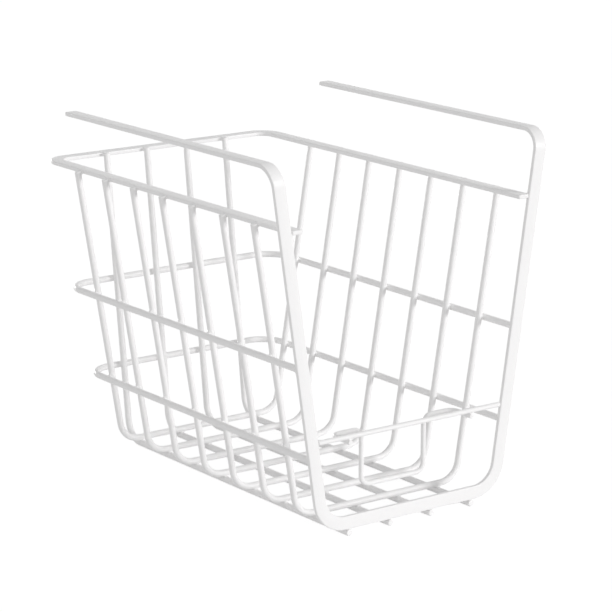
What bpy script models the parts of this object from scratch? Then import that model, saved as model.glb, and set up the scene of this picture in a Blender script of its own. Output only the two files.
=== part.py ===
"""Under-shelf wire basket: a front frame and a rim of flat strip, with hoops, long wires and rails of wire.

Metres, +Z up. The open front faces -Y, and a shelf board goes between the arms and the rim. The origin is
the middle of the space that the basket fills, on the surface that it stands on. Heights are measured from
the underside of the front frame's bottom bar, and depths from the frame's front face.
"""

import math

import bpy
from mathutils import Vector

# The stock that the basket is bent from, and the space that is left at each weld.
STRIP_WIDTH = 0.008
STRIP_THICKNESS = 0.0025
STRIP_EDGE_ROUNDING = 0.0005
WIRE = 0.004
THIN_WIRE = 0.003
WELD_GAP = 0.0003

# The front frame. Its widths are over the outer edges, the lower one at the middle of the bottom bar.
ARM_WIDTH = 0.199
FOOT_WIDTH = 0.1351
FRAME_HEIGHT = 0.2173
ARM_LENGTH = 0.214
FOOT_CORNER_RADIUS = 0.018
ARM_BEND_RADIUS = 0.01175

# The rim. The shelf board goes in the gap between its top and the arms.
SHELF_GAP = 0.035
BASKET_DEPTH = 0.2645
RIM_SHOULDER = 0.0009
RIM_CORNER_RADIUS = 0.015

# The hoops, each across the floor and up both sides.
HOOP_COUNT = 7
HOOP_FOOT_INSET = 0.0087
HOOP_CORNER_RADIUS = 0.0135
HOOP_TOP_DROP = 0.001
FIRST_HOOP_DEPTH = 0.032
LAST_HOOP_INSET = 0.0144

# The long wires, each along the floor and up the back.
LONG_WIRE_COUNT = 4
LONG_WIRE_INSET = 0.0136
LONG_WIRE_BEND_RADIUS = 0.0135
BACK_LEAN = 0.0217

# The rails round the sides and the back.
MIDDLE_RAIL_HEIGHT = 0.0999
LOWER_RAIL_HEIGHT = 0.0446
RAIL_CORNER_RADIUS = 0.017

# The guard wire across the front, and the loop that hangs from it.
GUARD_HEIGHT = 0.0548
LOOP_SETBACK = 0.0184
LOOP_SPAN = 0.0893
LOOP_WIDTH = 0.046
LOOP_FOOT_HEIGHT = 0.0176
LOOP_BEND_RADIUS = 0.0055

# The white powder coat.
COAT_COLOR = (0.93, 0.93, 0.93, 1.0)
COAT_ROUGHNESS = 0.35
COAT_METALLIC = 0.0

# A line whose share along X is this great runs across the basket.
ACROSS_SHARE = 0.999

# How finely round shapes are faceted.
BEND_STEPS = 8
WIRE_RESOLUTION = 4
THIN_WIRE_RESOLUTION = 2
EDGE_STEPS = 2

# Places worked out from the sizes above.
FRONT_FACE = -BASKET_DEPTH / 2
BAR_UNDERSIDE = WIRE + WELD_GAP
ARM_MIDDLE = FRAME_HEIGHT - STRIP_THICKNESS / 2
FRAME_LEAN = (ARM_WIDTH - FOOT_WIDTH) / 2 / (ARM_MIDDLE - STRIP_WIDTH / 2)
RIM_TOP = FRAME_HEIGHT - STRIP_THICKNESS - SHELF_GAP
RIM_UNDERSIDE = RIM_TOP - STRIP_THICKNESS
CROSSING = WIRE + WELD_GAP


def upright_middle(height):
    """Half the distance between the middles of the two uprights."""
    return (FOOT_WIDTH - STRIP_WIDTH) / 2 + FRAME_LEAN * (height - STRIP_WIDTH / 2)


def upright_inner(height):
    """Half the distance between the inner edges of the two uprights."""
    return upright_middle(height) - STRIP_WIDTH / 2 * math.hypot(1, FRAME_LEAN)


RIM_END = upright_inner(RIM_UNDERSIDE) - WELD_GAP * math.hypot(1, FRAME_LEAN)
RIM_OUTER = RIM_END + RIM_SHOULDER
HOOP_FOOT = FOOT_WIDTH / 2 - HOOP_FOOT_INSET
BACK_FOOT = BASKET_DEPTH - STRIP_WIDTH - WIRE / 2 - WELD_GAP - BACK_LEAN


def lean_past(foot, edge, height, clearance):
    """The lean of a line from its foot that passes an edge at that height by the clearance, as run over rise.

    The line passes beyond the edge, or before it where the clearance is negative.
    """
    reach = math.hypot(edge - foot, height)
    return math.tan(math.atan2(edge - foot, height) + math.asin(clearance / reach))


HOOP_LEAN = lean_past(HOOP_FOOT, RIM_OUTER, RIM_UNDERSIDE, WIRE / 2 + WELD_GAP)
BACK_WIRE_LEAN = lean_past(BACK_FOOT, BASKET_DEPTH - STRIP_WIDTH, RIM_TOP, -WIRE / 2 - WELD_GAP)


def hoop_side(height):
    """Half the distance between the two sides of a hoop, between the middles of the wire."""
    return HOOP_FOOT + HOOP_LEAN * height


def back_depth(height):
    """How far behind the front face the middle of a long wire is on the back."""
    return BACK_FOOT + BACK_WIRE_LEAN * height


def bend(before, corner, after, radius):
    """The points of an arc in place of a corner, or the corner itself where the radius is zero."""
    if not radius:
        return [corner]
    back, onward = (before - corner).normalized(), (after - corner).normalized()
    half_angle = back.angle(onward) / 2
    centre = corner + (back + onward).normalized() * radius / math.sin(half_angle)
    start = corner + back * radius / math.tan(half_angle) - centre
    end = corner + onward * radius / math.tan(half_angle) - centre
    return [centre + start.slerp(end, step / BEND_STEPS) * radius for step in range(BEND_STEPS + 1)]


def rounded_route(corners, radii):
    """The points of a route whose inner corners are rounded, each by its own radius."""
    corners = [Vector(corner) for corner in corners]
    points = [corners[0]]
    for before, corner, after, radius in zip(corners, corners[1:], corners[2:], radii):
        points += bend(before, corner, after, radius)
    return points + [corners[-1]]


def mirrored(half):
    """A route across the basket, from its half on the +X side."""
    return half + [(-x, y, z) for x, y, z in reversed(half)]


def new_curve(name, points, cyclic=False):
    curve = bpy.data.curves.new(name, "CURVE")
    curve.dimensions = "3D"
    spline = curve.splines.new("POLY")
    spline.points.add(len(points) - 1)
    for control, point in zip(spline.points, points):
        control.co = (*point, 1)
    spline.use_cyclic_u = cyclic
    return curve


def coat(name):
    """The white coat of one piece."""
    material = bpy.data.materials.new(name + "_coat")
    material.use_nodes = True
    shader = material.node_tree.nodes["Principled BSDF"]
    shader.inputs["Base Color"].default_value = COAT_COLOR
    shader.inputs["Roughness"].default_value = COAT_ROUGHNESS
    shader.inputs["Metallic"].default_value = COAT_METALLIC
    material.diffuse_color = COAT_COLOR
    return material


def add_piece(basket, name, curve, depth=0, height=0, across=0):
    """Puts a piece in the basket, its zero this deep behind the front face and this high above the bar."""
    curve.materials.append(coat(name))
    piece = bpy.data.objects.new(name, curve)
    piece.location = (across, FRONT_FACE + depth, BAR_UNDERSIDE + height)
    piece.parent = basket
    basket.users_collection[0].objects.link(piece)
    return piece


def wire_curve(name, points, diameter, resolution):
    curve = new_curve(name, points)
    curve.bevel_depth = diameter / 2
    curve.bevel_resolution = resolution
    curve.use_fill_caps = True
    return curve


def strip_section(collection):
    """The outline of the flat strip, its width along X, as a guide that isn't a piece."""
    flat_width = STRIP_WIDTH / 2 - STRIP_EDGE_ROUNDING
    flat_thickness = STRIP_THICKNESS / 2 - STRIP_EDGE_ROUNDING
    points = []
    for quarter, (x, y) in enumerate(((1, -1), (-1, -1), (-1, 1), (1, 1))):
        centre = Vector((x * flat_width, y * flat_thickness, 0))
        for step in range(EDGE_STEPS + 1):
            angle = -math.pi / 2 * (quarter + step / EDGE_STEPS)
            points.append(centre + Vector((math.cos(angle), math.sin(angle), 0)) * STRIP_EDGE_ROUNDING)
    curve = new_curve("strip_section", points, cyclic=True)
    curve.dimensions = "2D"
    section = bpy.data.objects.new("strip_section", curve)
    section.hide_render = True
    section.display_type = "WIRE"
    collection.objects.link(section)
    return section


def directions_of(points):
    """The direction of a route at each of its points, halfway between the two lines that meet there."""
    lines = [(b - a).normalized() for a, b in zip(points, points[1:])]
    return [(a + b).normalized() for a, b in zip(lines[:1] + lines, lines + lines[-1:])]


def strip_tilts(points):
    """How far to turn the strip about its own line at each point, so that its flat sides stay along X.

    A curve carries its section along with the least twist, which would roll the arms by the uprights' lean.
    """
    directions = directions_of(points)
    carried = directions[0].to_track_quat("-Z", "Y")
    facing = Vector((0, 0, 1))
    tilts = []
    for last, direction in zip(directions[:1] + directions, directions):
        carried = last.rotation_difference(direction) @ carried
        if abs(direction.x) < ACROSS_SHARE:
            square = Vector((1, 0, 0)).cross(direction).normalized()
            facing = square * math.copysign(1, square.dot(facing) or 1)
        flat = carried @ Vector((0, 1, 0))
        tilts.append(math.atan2(flat.cross(facing).dot(direction), flat.dot(facing)))
    return tilts


def add_front_frame(basket, section):
    """One strip: arm, upright, bar, upright, arm. Its lower corners are bent edgewise, its arms flatwise."""
    middle = STRIP_THICKNESS / 2
    bar = STRIP_WIDTH / 2
    arm_x = upright_middle(ARM_MIDDLE)
    half = [(arm_x, ARM_LENGTH, ARM_MIDDLE), (arm_x, middle, ARM_MIDDLE), (upright_middle(bar), middle, bar)]
    radii = [ARM_BEND_RADIUS, FOOT_CORNER_RADIUS, FOOT_CORNER_RADIUS, ARM_BEND_RADIUS]
    points = rounded_route(mirrored(half), radii)
    curve = new_curve("front_frame", points)
    for control, tilt in zip(curve.splines[0].points, strip_tilts(points)):
        control.tilt = tilt
    curve.bevel_mode = "OBJECT"
    curve.bevel_object = section
    curve.use_fill_caps = True
    add_piece(basket, "front_frame", curve)


def add_top_rim(basket):
    """A strip laid flat round the mouth, its notched ends between the uprights, a shoulder behind each."""
    seat = STRIP_THICKNESS + WELD_GAP
    back = BASKET_DEPTH
    inner_radius = RIM_CORNER_RADIUS - STRIP_WIDTH
    outer = mirrored([(RIM_END, 0, 0), (RIM_END, seat, 0), (RIM_OUTER, seat, 0), (RIM_OUTER, back, 0)])
    inner = mirrored([(RIM_OUTER - STRIP_WIDTH, 0, 0), (RIM_OUTER - STRIP_WIDTH, back - STRIP_WIDTH, 0)])
    outline = rounded_route(outer, [0, 0, RIM_CORNER_RADIUS, RIM_CORNER_RADIUS, 0, 0])
    outline += reversed(rounded_route(inner, [inner_radius, inner_radius]))
    curve = new_curve("top_rim", outline, cyclic=True)
    curve.dimensions = "2D"
    curve.fill_mode = "BOTH"
    curve.extrude = STRIP_THICKNESS / 2 - STRIP_EDGE_ROUNDING
    curve.bevel_depth = STRIP_EDGE_ROUNDING
    curve.bevel_resolution = EDGE_STEPS - 1
    curve.offset = -STRIP_EDGE_ROUNDING
    add_piece(basket, "top_rim", curve, height=RIM_TOP - STRIP_THICKNESS / 2)


def add_hoops(basket):
    """U-shaped wires, with their floors on the long wires and their tops against the rim's outer edge."""
    floor = WIRE / 2
    top = RIM_TOP - HOOP_TOP_DROP
    route = mirrored([(hoop_side(top), 0, top), (hoop_side(floor), 0, floor)])
    points = rounded_route(route, [HOOP_CORNER_RADIUS] * 2)
    pitch = (BACK_FOOT - LAST_HOOP_INSET - FIRST_HOOP_DEPTH) / (HOOP_COUNT - 1)
    for number in range(HOOP_COUNT):
        name = f"hoop_{number + 1}"
        curve = wire_curve(name, points, WIRE, WIRE_RESOLUTION)
        add_piece(basket, name, curve, depth=FIRST_HOOP_DEPTH + number * pitch)


def add_long_wires(basket):
    """Wires under the bar and the hoops, turned up at the back to the inner edge of the rim."""
    floor = -WELD_GAP - WIRE / 2
    route = [(0, 0, floor), (0, back_depth(floor), floor), (0, back_depth(RIM_TOP), RIM_TOP)]
    points = rounded_route(route, [LONG_WIRE_BEND_RADIUS])
    outermost = HOOP_FOOT - LONG_WIRE_INSET
    for number in range(LONG_WIRE_COUNT):
        name = f"long_wire_{number + 1}"
        curve = wire_curve(name, points, WIRE, WIRE_RESOLUTION)
        across = outermost * (2 * number / (LONG_WIRE_COUNT - 1) - 1)
        add_piece(basket, name, curve, across=across)


def add_rail(basket, name, height):
    """A wire round the outside of the hoops and the long wires, from the back of one upright to the other."""
    side = hoop_side(height) + CROSSING * math.hypot(1, HOOP_LEAN)
    back = back_depth(height) + CROSSING * math.hypot(1, BACK_WIRE_LEAN)
    route = mirrored([(side, STRIP_THICKNESS + WELD_GAP, 0), (side, back, 0)])
    points = rounded_route(route, [RAIL_CORNER_RADIUS] * 2)
    add_piece(basket, name, wire_curve(name, points, WIRE, WIRE_RESOLUTION), height=height)


def add_guard_wire(basket):
    """A straight wire across the front, its ends against the inner edges of the uprights."""
    half = upright_inner(GUARD_HEIGHT - THIN_WIRE / 2) - WELD_GAP * math.hypot(1, FRAME_LEAN)
    points = rounded_route([(half, 0, 0), (-half, 0, 0)], [])
    curve = wire_curve("guard_wire", points, THIN_WIRE, THIN_WIRE_RESOLUTION)
    add_piece(basket, "guard_wire", curve, depth=THIN_WIRE / 2, height=GUARD_HEIGHT)


def add_front_loop(basket):
    """A wire whose two ends lie under the guard wire and whose middle hangs down behind it as a U."""
    drop = LOOP_FOOT_HEIGHT - GUARD_HEIGHT + THIN_WIRE + WELD_GAP
    side, leg, back = LOOP_SPAN / 2, LOOP_WIDTH / 2, LOOP_SETBACK
    route = mirrored([(side, 0, 0), (side, back, 0), (leg, back, 0), (leg, back, drop)])
    points = rounded_route(route, [LOOP_BEND_RADIUS] * (len(route) - 2))
    curve = wire_curve("front_loop", points, THIN_WIRE, THIN_WIRE_RESOLUTION)
    add_piece(basket, "front_loop", curve, height=LOOP_FOOT_HEIGHT - drop)


def new_collection(name):
    collection = bpy.data.collections.new(name)
    bpy.context.scene.collection.children.link(collection)
    return collection


def build():
    for leftover in list(bpy.data.objects):
        bpy.data.objects.remove(leftover)
    basket = bpy.data.objects.new("basket", None)
    new_collection("under_shelf_basket").objects.link(basket)
    section = strip_section(new_collection("guides"))
    add_front_frame(basket, section)
    add_top_rim(basket)
    add_hoops(basket)
    add_long_wires(basket)
    add_rail(basket, "middle_rail", MIDDLE_RAIL_HEIGHT)
    add_rail(basket, "lower_rail", LOWER_RAIL_HEIGHT)
    add_guard_wire(basket)
    add_front_loop(basket)
    bpy.context.view_layer.update()


build()
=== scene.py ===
"""The look of an under-shelf wire basket: powder-coated strip and wire, run together at the welds.

Metres, +Z up. The open front faces -Y. Heights are measured from the underside of the front frame's bottom
bar, depths from the frame's front face, and both are turned into places by the place function.
"""

import math

import bmesh
import bpy
import numpy as np
from bpy.props import FloatProperty, FloatVectorProperty, IntProperty, PointerProperty
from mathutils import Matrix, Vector


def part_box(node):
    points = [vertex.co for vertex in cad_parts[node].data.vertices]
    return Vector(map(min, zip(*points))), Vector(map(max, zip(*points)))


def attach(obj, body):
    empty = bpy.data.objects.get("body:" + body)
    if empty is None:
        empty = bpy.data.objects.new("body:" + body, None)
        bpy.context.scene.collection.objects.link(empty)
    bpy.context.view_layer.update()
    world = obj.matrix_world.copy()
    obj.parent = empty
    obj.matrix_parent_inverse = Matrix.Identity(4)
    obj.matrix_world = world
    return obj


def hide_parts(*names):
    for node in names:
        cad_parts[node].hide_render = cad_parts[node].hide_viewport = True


bl_info = {
    "name": "Under Shelf Basket",
    "version": (1, 0, 0),
    "blender": (4, 5, 0),
    "location": "View3D > Sidebar > Basket",
    "description": "Builds the coated strips, wires and welds of an under-shelf wire basket",
    "category": "Add Mesh",
}

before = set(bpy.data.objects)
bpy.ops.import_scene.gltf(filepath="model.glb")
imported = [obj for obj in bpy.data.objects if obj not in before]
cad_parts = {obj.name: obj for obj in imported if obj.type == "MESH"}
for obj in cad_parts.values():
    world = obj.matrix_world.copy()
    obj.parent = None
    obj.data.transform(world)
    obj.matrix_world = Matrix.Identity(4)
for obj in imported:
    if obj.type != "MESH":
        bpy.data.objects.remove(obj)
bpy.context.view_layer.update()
BODY = "root"

FRAME_LOW, FRAME_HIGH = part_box("front_frame")
RIM_LOW, RIM_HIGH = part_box("top_rim")
FRONT_FACE = RIM_LOW.y
BAR_UNDERSIDE = FRAME_LOW.z
HOOPS = sorted(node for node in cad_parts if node.startswith("hoop_"))
LONG_WIRES = sorted(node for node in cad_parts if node.startswith("long_wire_"))
RAILS = ("middle_rail", "lower_rail")


def length(name, description, metres):
    return FloatProperty(name=name, description=description, default=metres, unit="LENGTH", precision=5)


def camera_length(name, description, millimetres):
    return FloatProperty(name=name, description=description, default=millimetres, unit="CAMERA")


def angle(name, description, degrees):
    return FloatProperty(name=name, description=description, default=math.radians(degrees), subtype="ANGLE")


def amount(name, description, value):
    return FloatProperty(name=name, description=description, default=value, min=0, precision=3)


def count(name, description, value, least):
    return IntProperty(name=name, description=description, default=value, min=least)


def spot(name, description, metres):
    return FloatVectorProperty(
        name=name, description=description, default=metres, size=3, subtype="TRANSLATION", precision=5)


def tone(name, description, color):
    return FloatVectorProperty(
        name=name, description=description, default=color, size=4, min=0, max=1, subtype="COLOR")


class BasketSizes(bpy.types.PropertyGroup):
    """The sizes of the strips and wires, and of what the welds do to them."""

    strip_width: length("Strip Width", "Width of the flat strip", 0.008)
    strip_thickness: length("Strip Thickness", "Thickness of the flat strip", RIM_HIGH.z - RIM_LOW.z)
    strip_edge: length("Strip Edge", "Radius of the strip's long edges under the coat", 0.0006)
    wire: length("Wire", "Diameter of the hoops, long wires and rails", 0.004)
    thin_wire: length("Thin Wire", "Diameter of the guard wire and the front loop", 0.003)
    cut_edge: length("Cut Edge", "Radius of the coat over a cut end", 0.00045)
    weld_gap: length("Weld Gap", "Space that a weld fills between two pieces", 0.0003)
    foot_width: length("Foot Width", "Width of the front frame at the middle of its bottom bar", 0.1351)
    foot_radius: length("Foot Radius", "Radius of the frame's corners, along the strip's middle", 0.018)
    arm_radius: length("Arm Radius", "Radius of the bend into each arm, along the strip's middle", 0.01175)
    rim_shoulder: length("Rim Shoulder", "How far the rim steps out behind each upright", 0.0009)
    rim_radius: length("Rim Radius", "Outer radius of the rim's rear corners", 0.015)
    hoop_foot_inset: length("Hoop Foot Inset", "How far inside the frame's foot a hoop starts", 0.0087)
    hoop_radius: length("Hoop Radius", "Radius of a hoop's two bends", 0.0135)
    hoop_top_drop: length("Hoop Top Drop", "How far below the rim's top a hoop ends", 0.001)
    long_wire_radius: length("Long Wire Radius", "Radius of a long wire's bend", 0.0135)
    back_lean: length("Back Lean", "How far the back leans out, from floor to rim", 0.0217)
    rail_radius: length("Rail Radius", "Radius of a rail's two bends", 0.017)
    loop_setback: length("Loop Setback", "Depth at which the front loop hangs", 0.0184)
    loop_width: length("Loop Width", "Width of the hanging part of the front loop", 0.046)
    loop_radius: length("Loop Radius", "Radius of the front loop's bends", 0.0055)
    weld_reach: length("Weld Reach", "How far a weld reaches from its middle", 0.0034)
    weld_melt: length("Weld Melt", "How softly a weld runs from one piece into the next", 0.0019)
    flush_melt: length("Flush Melt", "The same where pieces meet flush with the front", 0.0011)
    weld_setback: length("Weld Setback", "How far behind the front face a weld starts", 0.0006)
    weld_sink: length("Weld Sink", "How deep a weld's rim lies under the coat around it", 0.000025)
    bead: length("Bead", "Radius of the bead under the left end of the rim", 0.0011)
    bead_length: length("Bead Length", "How far that bead runs down the upright", 0.0046)
    weld_fineness: count("Weld Fineness", "How often the faces of a weld are divided", 4, 2)
    bend_steps: count("Bend Steps", "Steps in each bend", 24, 4)
    wire_sides: count("Wire Sides", "Sides of each wire", 28, 8)


class BasketFinish(bpy.types.PropertyGroup):
    """The white powder coat."""

    white: tone("White", "The powder coat", (0.934, 0.927, 0.927, 1.0))
    shade: tone("Thin Coat", "The powder coat where it is thinner", (0.91, 0.903, 0.903, 1.0))
    roughness: amount("Roughness", "How soft the coat's gloss is", 0.4)
    gloss: amount("Gloss", "How much the coat reflects", 0.3)
    peel: length("Peel Size", "Width of the coat's orange-peel ripples", 0.0011)
    peel_depth: length("Peel Depth", "Depth of the ripples", 0.00016)


class BasketStage(bpy.types.PropertyGroup):
    """The camera, the lights and the floor."""

    azimuth: angle("Azimuth", "Camera's turn from the front", -36.349)
    elevation: angle("Elevation", "Camera's angle above the horizon", 14.08)
    distance: length("Distance", "From the camera to the point it looks at", 1.61371)
    aim: spot("Aim", "Point that the camera looks at", (-0.00269, -0.03225, 0.10946))
    sensor: camera_length("Sensor", "Width of the camera's sensor", 36.0)
    lens: camera_length("Lens", "Focal length of the camera's lens", 157.88)
    key: amount("Key", "Strength of the key light", 1.54)
    key_azimuth: angle("Key Azimuth", "Key light's turn from the front", 34.0)
    key_elevation: angle("Key Elevation", "Key light's angle above the horizon", 13.0)
    key_spread: angle("Key Spread", "How wide the key light looks from the basket", 15.0)
    side: amount("Side", "Strength of the side light", 0.68)
    side_azimuth: angle("Side Azimuth", "Side light's turn from the front", -62.0)
    side_elevation: angle("Side Elevation", "Side light's angle above the horizon", 0.0)
    side_spread: angle("Side Spread", "How wide the side light looks from the basket", 75.0)
    back: amount("Back", "Strength of the back light", 1.45)
    back_azimuth: angle("Back Azimuth", "Back light's turn from the front", 172.0)
    back_elevation: angle("Back Elevation", "Back light's angle above the horizon", 1.0)
    back_spread: angle("Back Spread", "How wide the back light looks from the basket", 8.0)
    room: amount("Room", "Level of the light from all round", 0.48)
    floor_tone: tone("Floor Tone", "The floor's own colour", (0.95, 0.95, 0.95, 1.0))
    floor_shadow: amount("Floor Shadow", "How much of the floor's light and shadow the camera sees", 0.2)
    floor_glow: amount("Floor Glow", "White that the camera sees on the floor besides", 0.898)
    floor_size: length("Floor Size", "Side of the floor", 24.0)


def sizes():
    return bpy.context.scene.basket_sizes


def place(across, depth, height):
    return Vector((across, FRONT_FACE + depth, BAR_UNDERSIDE + height))


def middle_of(node):
    low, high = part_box(node)
    return (low + high) / 2


# Lines that the pieces follow


def bend(before, corner, after, radius, steps):
    """The points of an arc in place of a corner."""
    back, onward = (before - corner).normalized(), (after - corner).normalized()
    half_angle = back.angle(onward) / 2
    centre = corner + (back + onward).normalized() * radius / math.sin(half_angle)
    start = corner + back * radius / math.tan(half_angle) - centre
    end = corner + onward * radius / math.tan(half_angle) - centre
    return [centre + start.slerp(end, step / steps) * radius for step in range(steps + 1)]


def rounded_route(corners, radii):
    points = [corners[0]]
    for before, corner, after, radius in zip(corners, corners[1:], corners[2:], radii):
        points += bend(before, corner, after, radius, sizes().bend_steps)
    return points + [corners[-1]]


def mirrored(half):
    return half + [Vector((-point.x, point.y, point.z)) for point in reversed(half)]


def directions_of(points):
    lines = [(b - a).normalized() for a, b in zip(points, points[1:])]
    return [(a + b).normalized() for a, b in zip(lines[:1] + lines, lines + lines[-1:])]


def frame_middle():
    """Half the distance between the uprights' lines at the bar's line, and how much it grows per height."""
    size = sizes()
    foot = (size.foot_width - size.strip_width) / 2
    arm = (FRAME_HIGH.x - FRAME_LOW.x - size.strip_width) / 2
    rise = FRAME_HIGH.z - FRAME_LOW.z - size.strip_thickness / 2 - size.strip_width / 2
    return foot, (arm - foot) / rise


def upright_middle(height):
    foot, lean = frame_middle()
    return foot + lean * (height - sizes().strip_width / 2)


def upright_inner(height):
    lean = frame_middle()[1]
    return upright_middle(height) - sizes().strip_width / 2 * math.hypot(1, lean)


def lean_past(foot, edge, height, clearance):
    """The lean of a line from its foot that passes an edge at that height by the clearance."""
    reach = math.hypot(edge - foot, height)
    return math.tan(math.atan2(edge - foot, height) + math.asin(clearance / reach))


def rim_top():
    return RIM_HIGH.z - BAR_UNDERSIDE


def rim_underside():
    return RIM_LOW.z - BAR_UNDERSIDE


def basket_depth():
    return RIM_HIGH.y - FRONT_FACE


def rim_step():
    """The depth at which the rim steps out behind the uprights."""
    return sizes().strip_thickness + sizes().weld_gap


def rim_end():
    """How far out the rim's narrower front end reaches."""
    return RIM_HIGH.x - sizes().rim_shoulder


def hoop_line():
    """Half the distance between a hoop's sides at the bar's underside, and how much it grows per height."""
    size = sizes()
    foot = size.foot_width / 2 - size.hoop_foot_inset
    return foot, lean_past(foot, RIM_HIGH.x, rim_underside(), size.wire / 2 + size.weld_gap)


def back_line():
    """The depth of a long wire's back at the bar's underside, and how much it grows per height."""
    size = sizes()
    clearance = size.wire / 2 + size.weld_gap
    foot = basket_depth() - size.strip_width - clearance - size.back_lean
    return foot, lean_past(foot, basket_depth() - size.strip_width, rim_top(), -clearance)


def hoop_depth(node):
    return middle_of(node).y - FRONT_FACE


def hoop_route(node):
    size = sizes()
    depth = hoop_depth(node)
    foot, lean = hoop_line()
    top, floor = rim_top() - size.hoop_top_drop, size.wire / 2
    half = [place(foot + lean * top, depth, top), place(foot + lean * floor, depth, floor)]
    return rounded_route(mirrored(half), [size.hoop_radius] * 2)


def long_wire_route(node):
    size = sizes()
    across = middle_of(node).x
    foot, lean = back_line()
    top, floor = rim_top(), -size.weld_gap - size.wire / 2
    corners = [place(across, 0, floor), place(across, foot + lean * floor, floor)]
    return rounded_route(corners + [place(across, foot + lean * top, top)], [size.long_wire_radius])


def rail_height(node):
    return middle_of(node).z - BAR_UNDERSIDE


def rail_lines(node):
    """Half the distance between a rail's sides, and its depth at the back."""
    size = sizes()
    height = rail_height(node)
    crossing = size.wire + size.weld_gap
    side_foot, side_lean = hoop_line()
    back_foot, back_lean = back_line()
    side = side_foot + side_lean * height + crossing * math.hypot(1, side_lean)
    return side, back_foot + back_lean * height + crossing * math.hypot(1, back_lean)


def rail_route(node):
    size = sizes()
    height = rail_height(node)
    side, back = rail_lines(node)
    half = [place(side, size.strip_thickness + size.weld_gap, height), place(side, back, height)]
    return rounded_route(mirrored(half), [size.rail_radius] * 2)


def guard_route():
    low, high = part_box("guard_wire")
    middle = middle_of("guard_wire")
    return [Vector((high.x, middle.y, middle.z)), Vector((low.x, middle.y, middle.z))]


def loop_route():
    size = sizes()
    lowest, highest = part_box("front_loop")
    radius = size.thin_wire / 2
    side, leg, back = highest.x - radius, size.loop_width / 2, size.loop_setback
    high, low = highest.z - radius - BAR_UNDERSIDE, lowest.z + radius - BAR_UNDERSIDE
    half = [place(side, 0, high), place(side, back, high), place(leg, back, high), place(leg, back, low)]
    return rounded_route(mirrored(half), [size.loop_radius] * 6)


# Skins over those lines

# Steps in the quarter turn of a rounded edge
EDGE_STEPS = 5
# How far inside its rounded edge a cut end has one more ring, in radii of that edge
END_MARGIN = 1 / 3
# The least radius of a strip's long edges at its cut ends, as a share of their radius along it
LEAST_EDGE = 1 / 4
# Where a direction's part across the basket is more than this, the strip runs level there
LEVEL_ACROSS = 0.999


def quarter_turn():
    return [math.pi / 2 * step / EDGE_STEPS for step in range(EDGE_STEPS + 1)]


def cut_end(radius):
    """How the coat rounds over a cut end: for each ring, how far in from the end and how far it draws in."""
    rings = [(radius * (1 - math.sin(turn)), radius * (1 - math.cos(turn))) for turn in quarter_turn()]
    return rings + [(0.0, radius * (1 + END_MARGIN))]


def with_cut_ends(points, radius):
    """The points of a line with rings added at both ends, and how far each ring draws in."""
    rings = cut_end(radius)
    first, last = (points[1] - points[0]).normalized(), (points[-2] - points[-1]).normalized()
    starts = [(points[0] + first * along, inset) for along, inset in reversed(rings)]
    ends = [(points[-1] + last * along, inset) for along, inset in rings]
    return starts + [(point, 0.0) for point in points[1:-1]] + ends


def skin(name, rings):
    """A closed skin over rings of points, with a fan over each end."""
    sides = len(rings[0])
    points = [point for ring in rings for point in ring]
    faces = []
    for start in range(0, len(points) - sides, sides):
        for side in range(sides):
            onward = (side + 1) % sides
            faces.append((start + side, start + onward, start + sides + onward, start + sides + side))
    for start, turn in ((0, -1), (len(points) - sides, 1)):
        middle = len(points)
        points.append(sum(points[start:start + sides], Vector()) / sides)
        for side in range(sides):
            faces.append((start + side, start + (side + 1) % sides, middle)[::turn])
    mesh = bpy.data.meshes.new(name)
    mesh.from_pydata([tuple(point) for point in points], [], faces)
    mesh.validate()
    mesh.shade_smooth()
    return mesh


def facing_out(mesh):
    """Turns the mesh's faces round if its volume comes out negative."""
    mesh.calc_loop_triangles()
    triangles = [triangle.vertices for triangle in mesh.loop_triangles]
    corners = np.array([[mesh.vertices[corner].co for corner in triangle] for triangle in triangles])
    if np.einsum("ij,ij->i", corners[:, 0], np.cross(corners[:, 1], corners[:, 2])).sum() < 0:
        mesh.flip_normals()
    return mesh


def with_ends_repeated(values, total):
    """The values at a line's points, with the first and the last repeated for the rings of its cut ends."""
    extra = (total - len(values)) // 2
    return values[:1] * extra + values + values[-1:] * extra


def wire_skin(name, points, diameter):
    """A round wire along a line, its section carried along with no twist."""
    sides = sizes().wire_sides
    turns = [math.tau * step / sides for step in range(sides)]
    ringed = with_cut_ends(points, sizes().cut_edge)
    along = with_ends_repeated(directions_of(points), len(ringed))
    side = along[0].orthogonal().normalized()
    rings = []
    for (centre, inset), last, direction in zip(ringed, along[:1] + along, along):
        side = last.rotation_difference(direction) @ side
        up = direction.cross(side)
        radius = diameter / 2 - inset
        rings.append([centre + (side * math.cos(turn) + up * math.sin(turn)) * radius for turn in turns])
    return facing_out(skin(name, rings))


def strip_outline(width, thickness, edge):
    """Points round the strip's section, as how far across its width and its thickness."""
    outline = []
    for quarter, (x, y) in enumerate(((1, 1), (-1, 1), (-1, -1), (1, -1))):
        for step in quarter_turn():
            turn = math.pi / 2 * quarter + step
            across = x * (width / 2 - edge) + edge * math.cos(turn)
            outline.append((across, y * (thickness / 2 - edge) + edge * math.sin(turn)))
    return outline


def strip_skin(name, points, facings):
    """A flat strip along a line. A facing is the way that its flat side looks."""
    size = sizes()
    ringed = with_cut_ends(points, size.strip_edge)
    along = with_ends_repeated(directions_of(points), len(ringed))
    looks = with_ends_repeated(facings, len(ringed))
    rings = []
    for (centre, inset), direction, facing in zip(ringed, along, looks):
        across = direction.cross(facing).normalized()
        edge = max(size.strip_edge - inset, size.strip_edge * LEAST_EDGE)
        outline = strip_outline(size.strip_width - 2 * inset, size.strip_thickness - 2 * inset, edge)
        rings.append([centre + across * x + facing * y for x, y in outline])
    return facing_out(skin(name, rings))


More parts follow.
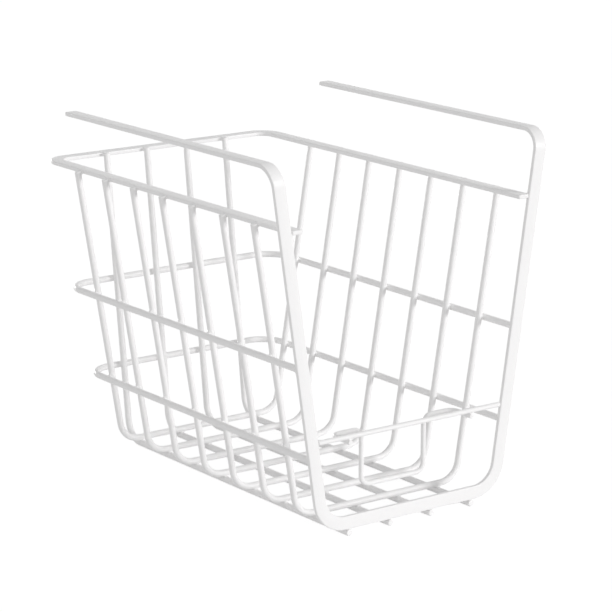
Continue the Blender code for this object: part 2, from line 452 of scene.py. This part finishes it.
def bent_flat(directions):
    """The way that the front frame's flat side looks along the strip: square to it, and never sideways."""
    facing = Vector((0, 0, 1))
    facings = []
    for direction in directions:
        square = Vector((1, 0, 0)).cross(direction)
        if abs(direction.x) < LEVEL_ACROSS:
            facing = square.normalized() * math.copysign(1, square.dot(facing) or 1)
        facings.append(facing.copy())
    return facings


# Welds

# Steps from the middle of a weld out to its reach, and a distance too small to divide by
WELD_STEPS = 68
NO_DISTANCE = 1e-12
# How far behind the front face a weld on the front strip has its middle, in thicknesses of the strip
FLUSH_DEPTH = 0.6
# How far the line of the bead stands off the upright's edge, in radii of the bead
BEAD_PROUD = 1 / 3


def distances_to_line(points, start, end):
    """How far points lie from the nearest place on a straight line between two ends."""
    start, line = np.array(start), np.array(end - start)
    fraction = np.clip((points - start) @ line / (line @ line), 0, 1)
    return np.linalg.norm(points - start - fraction[..., None] * line, axis=-1)


def round_bar(route, diameter, near):
    """How far points near a place lie outside a round wire that is cut square at both ends."""
    start, end = (route[1] - route[0]).normalized(), (route[-1] - route[-2]).normalized()
    corners = [route[0] - start * diameter] + route[1:-1] + [route[-1] + end * diameter]
    near, span = np.array(near), 2 * (sizes().weld_reach + diameter)
    stretches = [ends for ends in zip(corners, corners[1:]) if distances_to_line(near, *ends) < span]
    cuts = [(np.array(route[0]), -np.array(start)), (np.array(route[-1]), np.array(end))]

    def outside(points):
        nearest = np.full(points.shape[:-1], np.inf)
        for ends in stretches:
            nearest = np.minimum(nearest, distances_to_line(points, *ends) - diameter / 2)
        for tip, outward in cuts:
            nearest = np.maximum(nearest, (points - tip) @ outward)
        return nearest

    return outside


def flat_bar(middle, along, facing, half):
    """How far points lie outside a straight stretch of strip, with its half length, width and thickness."""
    size = sizes()
    axes = np.array([along, along.cross(facing), facing])
    inner = np.array(half) - size.strip_edge

    def outside(points):
        past = np.abs((points - np.array(middle)) @ axes.T) - inner
        beyond = np.linalg.norm(np.maximum(past, 0), axis=-1)
        return beyond + np.minimum(past.max(axis=-1), 0) - size.strip_edge

    return outside


def round_bead(start, end, radius):
    """How far points lie outside a bead of weld metal laid between two places."""
    return lambda points: distances_to_line(points, start, end) - radius


def run_together(distances, melt):
    """The distance from several shapes whose surfaces run softly into each other."""
    outside = distances[0]
    for other in distances[1:]:
        blend = np.maximum(melt - np.abs(outside - other), 0) / melt
        outside = np.minimum(outside, other) - blend ** 2 * melt / 4
    return outside


def ball_directions():
    """The corners and faces of a ball of even triangles."""
    ball = bmesh.new()
    bmesh.ops.create_icosphere(ball, subdivisions=sizes().weld_fineness, radius=1.0)
    directions = np.array([vertex.co.normalized() for vertex in ball.verts])
    faces = [[vertex.index for vertex in face.verts] for face in ball.faces]
    ball.free()
    return directions, faces


def weld_points(middle, shapes, melt, directions):
    """Where the run-together surface of a weld's pieces lies in each direction from its middle."""
    size = sizes()
    steps = np.linspace(0, size.weld_reach, WELD_STEPS + 1)
    points = np.array(middle) + directions[:, None] * steps[None, :, None]
    outside = run_together([shape(points) for shape in shapes], melt) + size.weld_sink
    # Nothing of a weld shows on the front face
    behind_front = points[..., 1] - FRONT_FACE - size.weld_setback
    outside = -run_together([-outside, behind_front], size.weld_setback)
    # The surface lies between the first step outside and the step before it
    clear = outside > 0
    hit = np.argmax(clear, axis=1)
    rows = np.arange(len(directions))
    before = np.maximum(hit - 1, 0)
    low, high = outside[rows, before], outside[rows, hit]
    fraction = np.where(hit > before, -low / np.maximum(high - low, NO_DISTANCE), 0)
    reach = steps[before] + np.clip(fraction, 0, 1) * (steps[hit] - steps[before])
    reach = np.where(clear.any(axis=1), reach, size.weld_reach)
    return np.array(middle) + directions * reach[:, None]


def add_welds(name, welds):
    """Adds one piece made of welds, each a middle, the shapes that meet there and how softly they melt."""
    directions, faces = ball_directions()
    points, all_faces = [], []
    for middle, shapes, melt in welds:
        start = len(points)
        points += weld_points(middle, shapes, melt, directions).tolist()
        all_faces += [[start + corner for corner in face] for face in faces]
    mesh = bpy.data.meshes.new(name)
    mesh.from_pydata(points, [], all_faces)
    mesh.shade_smooth()
    add_piece(name, mesh, "wire_coat")


def strip_half(half_length):
    return half_length, sizes().strip_width / 2, sizes().strip_thickness / 2


def bar_shape():
    size = sizes()
    middle = place(0, size.strip_thickness / 2, size.strip_width / 2)
    half_length = size.foot_width / 2 - size.foot_radius
    return flat_bar(middle, Vector((1, 0, 0)), Vector((0, 1, 0)), strip_half(half_length))


def upright_shape(side):
    height = (FRAME_HIGH.z - BAR_UNDERSIDE) / 2
    along = Vector((side * frame_middle()[1], 0, 1)).normalized()
    middle = place(side * upright_middle(height), sizes().strip_thickness / 2, height)
    half_length = height - sizes().foot_radius
    return flat_bar(middle, along, Vector((0, 1, 0)), strip_half(half_length))


def rim_side_shape(side):
    size = sizes()
    half_length = (basket_depth() - size.rim_radius - rim_step()) / 2
    across = side * (RIM_HIGH.x - size.strip_width / 2)
    middle = place(across, rim_step() + half_length, rim_top() - size.strip_thickness / 2)
    return flat_bar(middle, Vector((0, 1, 0)), Vector((0, 0, 1)), strip_half(half_length))


def rim_end_shape(side):
    """The narrower front end of the rim, inside the upright."""
    size = sizes()
    inner = RIM_HIGH.x - size.strip_width
    half_width = (rim_end() - inner) / 2
    middle = place(side * (inner + half_width), rim_step(), rim_top() - size.strip_thickness / 2)
    half = (rim_step(), half_width, size.strip_thickness / 2)
    return flat_bar(middle, Vector((0, 1, 0)), Vector((0, 0, 1)), half)


def rim_back_shape():
    size = sizes()
    half_length = RIM_HIGH.x - size.rim_radius
    middle = place(0, basket_depth() - size.strip_width / 2, rim_top() - size.strip_thickness / 2)
    return flat_bar(middle, Vector((1, 0, 0)), Vector((0, 0, 1)), strip_half(half_length))


def wires_meeting(middle, *routes):
    return [round_bar(route, sizes().wire, middle) for route in routes]


def floor_welds():
    """Each hoop on each long wire, and the frame's bar on each long wire."""
    size = sizes()
    welds = []
    for wire in LONG_WIRES:
        across, route = middle_of(wire).x, long_wire_route(wire)
        for hoop in HOOPS:
            middle = place(across, hoop_depth(hoop), -size.weld_gap / 2)
            welds.append((middle, wires_meeting(middle, route, hoop_route(hoop)), size.weld_melt))
        middle = place(across, size.strip_thickness * FLUSH_DEPTH, -size.weld_gap / 2)
        welds.append((middle, [bar_shape(), *wires_meeting(middle, route)], size.flush_melt))
    return welds


def rail_welds():
    """Each rail on each hoop and each long wire, and on both uprights."""
    size = sizes()
    inward = (size.wire + size.weld_gap) / 2
    side_lean, back_lean = hoop_line()[1], back_line()[1]
    welds = []
    for rail in RAILS:
        side, back = rail_lines(rail)
        height, route = rail_height(rail), rail_route(rail)
        for hand in (-1, 1):
            towards = Vector((-hand, 0, side_lean)).normalized()
            for hoop in HOOPS:
                middle = place(hand * side, hoop_depth(hoop), height) + towards * inward
                welds.append((middle, wires_meeting(middle, route, hoop_route(hoop)), size.weld_melt))
            middle = place(hand * side, size.strip_thickness + size.weld_gap / 2, height)
            welds.append((middle, [upright_shape(hand), *wires_meeting(middle, route)], size.weld_melt))
        towards = Vector((0, -1, back_lean)).normalized()
        for wire in LONG_WIRES:
            middle = place(middle_of(wire).x, back, height) + towards * inward
            welds.append((middle, wires_meeting(middle, route, long_wire_route(wire)), size.weld_melt))
    return welds


def rim_welds():
    """The tops of the hoops and of the long wires on the rim."""
    size = sizes()
    side_lean, back_lean = hoop_line()[1], back_line()[1]
    welds = []
    for hand in (-1, 1):
        outward = Vector((hand, 0, -side_lean)).normalized()
        for hoop in HOOPS:
            outer = place(hand * RIM_HIGH.x, hoop_depth(hoop), rim_underside() + size.strip_edge)
            middle = outer + outward * size.weld_gap / 2
            shapes = [rim_side_shape(hand), *wires_meeting(middle, hoop_route(hoop))]
            welds.append((middle, shapes, size.weld_melt))
    inward = Vector((0, -1, back_lean)).normalized()
    level = rim_top() - size.strip_thickness / 2
    for wire in LONG_WIRES:
        inner = place(middle_of(wire).x, basket_depth() - size.strip_width, level)
        middle = inner + inward * size.weld_gap / 2
        shapes = [rim_back_shape(), *wires_meeting(middle, long_wire_route(wire))]
        welds.append((middle, shapes, size.weld_melt))
    return welds


def frame_welds():
    """The ends of the rim and of the guard wire on the uprights, and the front loop on the guard wire."""
    size = sizes()
    guard, loop = guard_route(), loop_route()
    level = rim_top() - size.strip_thickness / 2
    edge = upright_inner(level)
    welds = []
    for hand in (-1, 1):
        upright, end, side = upright_shape(hand), rim_end_shape(hand), rim_side_shape(hand)
        middle = place(hand * (edge - size.weld_gap / 2), size.strip_thickness * FLUSH_DEPTH, level)
        welds.append((middle, [upright, end], size.flush_melt))
        behind = place(hand * (edge + RIM_HIGH.x) / 2, size.strip_thickness + size.weld_gap / 2, level)
        welds.append((behind, [upright, side], size.weld_melt))
        tip = guard[0] if hand > 0 else guard[-1]
        welds.append((tip, [upright, round_bar(guard, size.thin_wire, tip)], size.flush_melt))
        rod = loop[0] if hand > 0 else loop[-1]
        meeting = Vector((rod.x, tip.y, (tip.z + rod.z) / 2))
        shapes = [round_bar(route, size.thin_wire, meeting) for route in (guard, loop)]
        welds.append((meeting, shapes, size.flush_melt))
    return welds + [bead_weld()]


def bead_weld():
    """The bead that runs from the rim's left end down the upright's inner edge."""
    size = sizes()
    ends = []
    for drop in (size.bead, size.bead_length - size.bead):
        level = rim_underside() - drop
        across = upright_inner(level) - size.bead * BEAD_PROUD
        ends.append(place(-across, size.strip_thickness / 2, level))
    shapes = [upright_shape(-1), rim_end_shape(-1), rim_side_shape(-1), round_bead(*ends, size.bead)]
    return (ends[0] + ends[1]) / 2, shapes, size.flush_melt


# The coat's material


class Value:
    """A socket whose arithmetic adds Math nodes beside it."""

    def __init__(self, shader, socket):
        self.shader = shader
        self.socket = socket

    def math(self, operation, first, second):
        return self.shader.add("ShaderNodeMath", {"operation": operation}, {0: first, 1: second})

    def __add__(self, other):
        return self.math("ADD", self, other)

    def __radd__(self, other):
        return self.math("ADD", other, self)

    def __mul__(self, other):
        return self.math("MULTIPLY", self, other)

    def __rmul__(self, other):
        return self.math("MULTIPLY", other, self)


class Shader:
    """The nodes of a material or of the world."""

    def __init__(self, owner):
        owner.use_nodes = True
        self.tree = owner.node_tree
        kinds = {node.bl_idname: node for node in self.tree.nodes}
        self.surface = kinds.get("ShaderNodeBsdfPrincipled")
        self.result = kinds.get("ShaderNodeOutputMaterial") or kinds["ShaderNodeOutputWorld"]

    def add(self, kind, settings=None, sockets=None, output=0):
        """Adds a node, sets it up, gives its sockets values or links, and returns one of its outputs."""
        node = self.tree.nodes.new(kind)
        for setting, value in (settings or {}).items():
            setattr(node, setting, value)
        for key, value in (sockets or {}).items():
            self.give(node.inputs[key], value)
        return Value(self, node.outputs[output])

    def give(self, socket, value):
        if isinstance(value, Value):
            self.tree.links.new(value.socket, socket)
        else:
            socket.default_value = value

    def set(self, **sockets):
        for name, value in sockets.items():
            self.give(self.surface.inputs[name.replace("_", " ")], value)


# For each slot, the coat's material and the size of its orange peel beside that on the strips
COATS = {
    "strip_coat": ("powder_on_strip", 1.0),
    "wire_coat": ("powder_on_wire", 0.8),
    "thin_wire_coat": ("powder_on_thin_wire", 0.7),
}
GRAINS_PER_PEEL = 5
CLOUDS_PER_METRE = 28.0
SPECKS_PER_METRE = 160.0
# A speck's radius beside the distance between specks
SPECK_RADIUS = 0.1
# What each of these adds to the height of the coat, and to how soft its gloss is
PEEL_HEIGHT, GRAIN_HEIGHT, SPECK_HEIGHT = 0.75, 0.1, 0.14
CLOUD_SOFTNESS, GRAIN_SOFTNESS = 0.08, 0.05
RELIEF_STRENGTH = 0.8


def noise(shader, where, scale, detail):
    return shader.add("ShaderNodeTexNoise", {}, {"Vector": where, "Scale": scale, "Detail": detail})


def specks(shader, where):
    """Small soft bumps, strewn at random."""
    sockets = {"Vector": where, "Scale": SPECKS_PER_METRE}
    distance = shader.add("ShaderNodeTexVoronoi", {"feature": "F1"}, sockets)
    return shader.add("ShaderNodeMapRange", {"interpolation_type": "SMOOTHSTEP"}, {
        "Value": distance, "From Min": SPECK_RADIUS, "From Max": 0.0, "To Min": 0.0, "To Max": 1.0})


def powder_coat(name, peel_size):
    """White powder coat, with orange peel, a fine grain, the odd speck and slightly thinner patches."""
    finish = bpy.context.scene.basket_finish
    material = bpy.data.materials.new(name)
    material.diffuse_color = finish.white
    shader = Shader(material)
    where = shader.add("ShaderNodeTexCoord", output="Object")
    peel = noise(shader, where, 1 / (finish.peel * peel_size), 2.0)
    grain = noise(shader, where, GRAINS_PER_PEEL / finish.peel, 1.0)
    cloud = noise(shader, where, CLOUDS_PER_METRE, 3.0)
    height = peel * PEEL_HEIGHT + grain * GRAIN_HEIGHT + specks(shader, where) * SPECK_HEIGHT
    relief = shader.add("ShaderNodeBump", {}, {
        "Height": height, "Strength": RELIEF_STRENGTH, "Distance": finish.peel_depth})
    color = shader.add("ShaderNodeMix", {"data_type": "RGBA"}, {
        "Factor": cloud, "A": tuple(finish.shade), "B": tuple(finish.white)}, output=2)
    least_rough = finish.roughness - (CLOUD_SOFTNESS + GRAIN_SOFTNESS) / 2
    rough = cloud * CLOUD_SOFTNESS + grain * GRAIN_SOFTNESS + least_rough
    shader.set(Base_Color=color, Roughness=rough, Normal=relief)
    shader.set(Metallic=0.0, Specular_IOR_Level=finish.gloss)
    return material


def add_piece(name, mesh, slot, *nodes):
    """Puts a piece in the scene, in place of the nodes it stands for."""
    coat, peel_size = COATS[slot]
    material = bpy.data.materials.get(coat) or powder_coat(coat, peel_size)
    mesh.materials.append(material)
    piece = bpy.data.objects.new(name, mesh)
    bpy.context.scene.collection.objects.link(piece)
    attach(piece, BODY)
    if nodes:
        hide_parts(*nodes)
    return piece


class BASKET_OT_front_frame(bpy.types.Operator):
    """Add the front frame, one strip from the end of one arm to the end of the other"""

    bl_idname = "basket.front_frame"
    bl_label = "Front Frame"

    def execute(self, context):
        size = sizes()
        middle, bar = size.strip_thickness / 2, size.strip_width / 2
        arm = FRAME_HIGH.z - BAR_UNDERSIDE - middle
        arm_x = upright_middle(arm)
        half = [place(arm_x, FRAME_HIGH.y - FRONT_FACE, arm), place(arm_x, middle, arm)]
        route = mirrored(half + [place(upright_middle(bar), middle, bar)])
        radii = [size.arm_radius, size.foot_radius, size.foot_radius, size.arm_radius]
        points = rounded_route(route, radii)
        mesh = strip_skin("coated_front_frame", points, bent_flat(directions_of(points)))
        add_piece("coated_front_frame", mesh, "strip_coat", "front_frame")
        return {"FINISHED"}


class BASKET_OT_top_rim(bpy.types.Operator):
    """Add the rim, a strip laid flat round the mouth"""

    bl_idname = "basket.top_rim"
    bl_label = "Top Rim"

    def execute(self, context):
        size = sizes()
        side = RIM_HIGH.x - size.strip_width / 2
        level = rim_top() - size.strip_thickness / 2
        half = [place(side, 0, level), place(side, basket_depth() - size.strip_width / 2, level)]
        points = rounded_route(mirrored(half), [size.rim_radius - size.strip_width / 2] * 2)
        steps = [Vector((0, depth, 0)) for depth in (rim_step() - size.strip_edge, rim_step())]
        points[1:1] = [points[0] + step for step in steps]
        points[-1:-1] = [points[-1] + step for step in reversed(steps)]
        mesh = strip_skin("coated_top_rim", points, [Vector((0, 0, 1))] * len(points))
        self.notch(mesh)
        add_piece("coated_top_rim", mesh, "strip_coat", "top_rim")
        return {"FINISHED"}

    def notch(self, mesh):
        """Draws the rim's two ends in to clear the uprights."""
        inner = RIM_HIGH.x - sizes().strip_width
        narrower = (rim_end() - inner) / sizes().strip_width
        for vertex in mesh.vertices:
            if vertex.co.y < FRONT_FACE + rim_step() - sizes().strip_edge / 2:
                across = inner + (abs(vertex.co.x) - inner) * narrower
                vertex.co.x = math.copysign(across, vertex.co.x)


class BASKET_OT_hoops(bpy.types.Operator):
    """Add the hoops, each across the floor and up both sides"""

    bl_idname = "basket.hoops"
    bl_label = "Hoops"

    def execute(self, context):
        for node in HOOPS:
            mesh = wire_skin("coated_" + node, hoop_route(node), sizes().wire)
            add_piece("coated_" + node, mesh, "wire_coat", node)
        return {"FINISHED"}


class BASKET_OT_long_wires(bpy.types.Operator):
    """Add the long wires, each along the floor and up the back"""

    bl_idname = "basket.long_wires"
    bl_label = "Long Wires"

    def execute(self, context):
        for node in LONG_WIRES:
            mesh = wire_skin("coated_" + node, long_wire_route(node), sizes().wire)
            add_piece("coated_" + node, mesh, "wire_coat", node)
        return {"FINISHED"}


class BASKET_OT_rails(bpy.types.Operator):
    """Add the two rails round the sides and the back"""

    bl_idname = "basket.rails"
    bl_label = "Rails"

    def execute(self, context):
        for node in RAILS:
            mesh = wire_skin("coated_" + node, rail_route(node), sizes().wire)
            add_piece("coated_" + node, mesh, "wire_coat", node)
        return {"FINISHED"}


class BASKET_OT_guard(bpy.types.Operator):
    """Add the guard wire across the front and the loop that hangs from it"""

    bl_idname = "basket.guard"
    bl_label = "Guard Wire and Loop"

    def execute(self, context):
        guard = wire_skin("coated_guard_wire", guard_route(), sizes().thin_wire)
        add_piece("coated_guard_wire", guard, "thin_wire_coat", "guard_wire")
        loop = wire_skin("coated_front_loop", loop_route(), sizes().thin_wire)
        add_piece("coated_front_loop", loop, "thin_wire_coat", "front_loop")
        return {"FINISHED"}


class BASKET_OT_welds(bpy.types.Operator):
    """Add the welds, where the coat runs from one piece into the next"""

    bl_idname = "basket.welds"
    bl_label = "Welds"

    def execute(self, context):
        for name, welds in (
            ("floor_welds", floor_welds()),
            ("rail_welds", rail_welds()),
            ("rim_welds", rim_welds()),
            ("frame_welds", frame_welds()),
        ):
            add_welds(name, welds)
        return {"FINISHED"}


class BASKET_OT_stage(bpy.types.Operator):
    """Add the camera, the lights and the floor"""

    bl_idname = "basket.stage"
    bl_label = "Stage"

    def execute(self, context):
        stage = context.scene.basket_stage
        self.camera(stage)
        self.sun("key_light", stage.key, stage.key_azimuth, stage.key_elevation, stage.key_spread)
        self.sun("side_light", stage.side, stage.side_azimuth, stage.side_elevation, stage.side_spread)
        self.sun("back_light", stage.back, stage.back_azimuth, stage.back_elevation, stage.back_spread)
        self.floor(stage)
        self.room(stage)
        context.scene.view_settings.view_transform = "Standard"
        return {"FINISHED"}

    def away(self, azimuth, elevation):
        """The way from the basket towards that azimuth and elevation."""
        level = math.cos(elevation)
        return Vector((math.sin(azimuth) * level, -math.cos(azimuth) * level, math.sin(elevation)))

    def look(self, thing, back):
        """Puts a camera or a light in the scene, with its back that way."""
        thing.rotation_mode = "QUATERNION"
        thing.rotation_quaternion = (-back).to_track_quat("-Z", "Y")
        bpy.context.scene.collection.objects.link(thing)

    def camera(self, stage):
        data = bpy.data.cameras.new("camera")
        data.sensor_width = stage.sensor
        data.lens = stage.lens
        camera = bpy.data.objects.new("camera", data)
        back = self.away(stage.azimuth, stage.elevation)
        camera.location = Vector(stage.aim) + back * stage.distance
        self.look(camera, back)
        bpy.context.scene.camera = camera

    def sun(self, name, strength, azimuth, elevation, spread):
        data = bpy.data.lights.new(name, "SUN")
        data.energy = strength
        data.angle = spread
        light = bpy.data.objects.new(name, data)
        back = self.away(azimuth, elevation)
        light.location = back
        self.look(light, back)

    def floor(self, stage):
        """Adds the floor, which the camera sees as white with a faint shadow."""
        half = stage.floor_size / 2
        corners = [(-half, -half, 0), (half, -half, 0), (half, half, 0), (-half, half, 0)]
        mesh = bpy.data.meshes.new("floor")
        mesh.from_pydata(corners, [], [(0, 1, 2, 3)])
        material = bpy.data.materials.new("floor")
        shader = Shader(material)
        shader.set(Base_Color=tuple(stage.floor_tone), Roughness=1.0, Specular_IOR_Level=0.0)
        matt = Value(shader, shader.surface.outputs[0])
        thinned = shader.add("ShaderNodeMixShader", {}, {0: stage.floor_shadow, 2: matt})
        glow = shader.add("ShaderNodeEmission", {}, {"Color": (1, 1, 1, 1), "Strength": stage.floor_glow})
        self.show(shader, matt, shader.add("ShaderNodeAddShader", {}, {0: thinned, 1: glow}))
        mesh.materials.append(material)
        floor = bpy.data.objects.new("floor", mesh)
        bpy.context.scene.collection.objects.link(floor)

    def room(self, stage):
        """Adds the light from all round, and the white that the camera sees behind the basket."""
        world = bpy.data.worlds.new("room")
        bpy.context.scene.world = world
        shader = Shader(world)
        light = shader.add("ShaderNodeBackground", {}, {"Color": (1, 1, 1, 1), "Strength": stage.room})
        white = shader.add("ShaderNodeBackground", {}, {"Color": (1, 1, 1, 1), "Strength": 1.0})
        self.show(shader, light, white)

    def show(self, shader, light, seen):
        """Lights the basket with one shader, and shows another to the camera and in reflections."""
        kinds = ("Camera", "Glossy", "Transmission")
        rays = [shader.add("ShaderNodeLightPath", output=f"Is {kind} Ray") for kind in kinds]
        mix = shader.add("ShaderNodeMixShader", {}, {0: rays[0] + rays[1] + rays[2], 1: light, 2: seen})
        shader.give(shader.result.inputs["Surface"], mix)


class BASKET_PT_panel(bpy.types.Panel):
    """Lists what adds the basket's pieces and its stage"""

    bl_idname = "BASKET_PT_panel"
    bl_label = "Under Shelf Basket"
    bl_space_type = "VIEW_3D"
    bl_region_type = "UI"
    bl_category = "Basket"

    def draw(self, context):
        for operator in OPERATORS:
            self.layout.operator(operator.bl_idname)


GROUPS = {"basket_sizes": BasketSizes, "basket_finish": BasketFinish, "basket_stage": BasketStage}
OPERATORS = (
    BASKET_OT_front_frame,
    BASKET_OT_top_rim,
    BASKET_OT_hoops,
    BASKET_OT_long_wires,
    BASKET_OT_rails,
    BASKET_OT_guard,
    BASKET_OT_welds,
    BASKET_OT_stage,
)


def register():
    for group in (*GROUPS.values(), *OPERATORS, BASKET_PT_panel):
        bpy.utils.register_class(group)
    for name, group in GROUPS.items():
        setattr(bpy.types.Scene, name, PointerProperty(type=group))


def unregister():
    for name in GROUPS:
        delattr(bpy.types.Scene, name)
    for group in reversed((*GROUPS.values(), *OPERATORS, BASKET_PT_panel)):
        bpy.utils.unregister_class(group)


def main():
    register()
    bpy.ops.basket.front_frame()
    bpy.ops.basket.top_rim()
    bpy.ops.basket.hoops()
    bpy.ops.basket.long_wires()
    bpy.ops.basket.rails()
    bpy.ops.basket.guard()
    bpy.ops.basket.welds()
    bpy.ops.basket.stage()


if __name__ == "__main__":
    main()
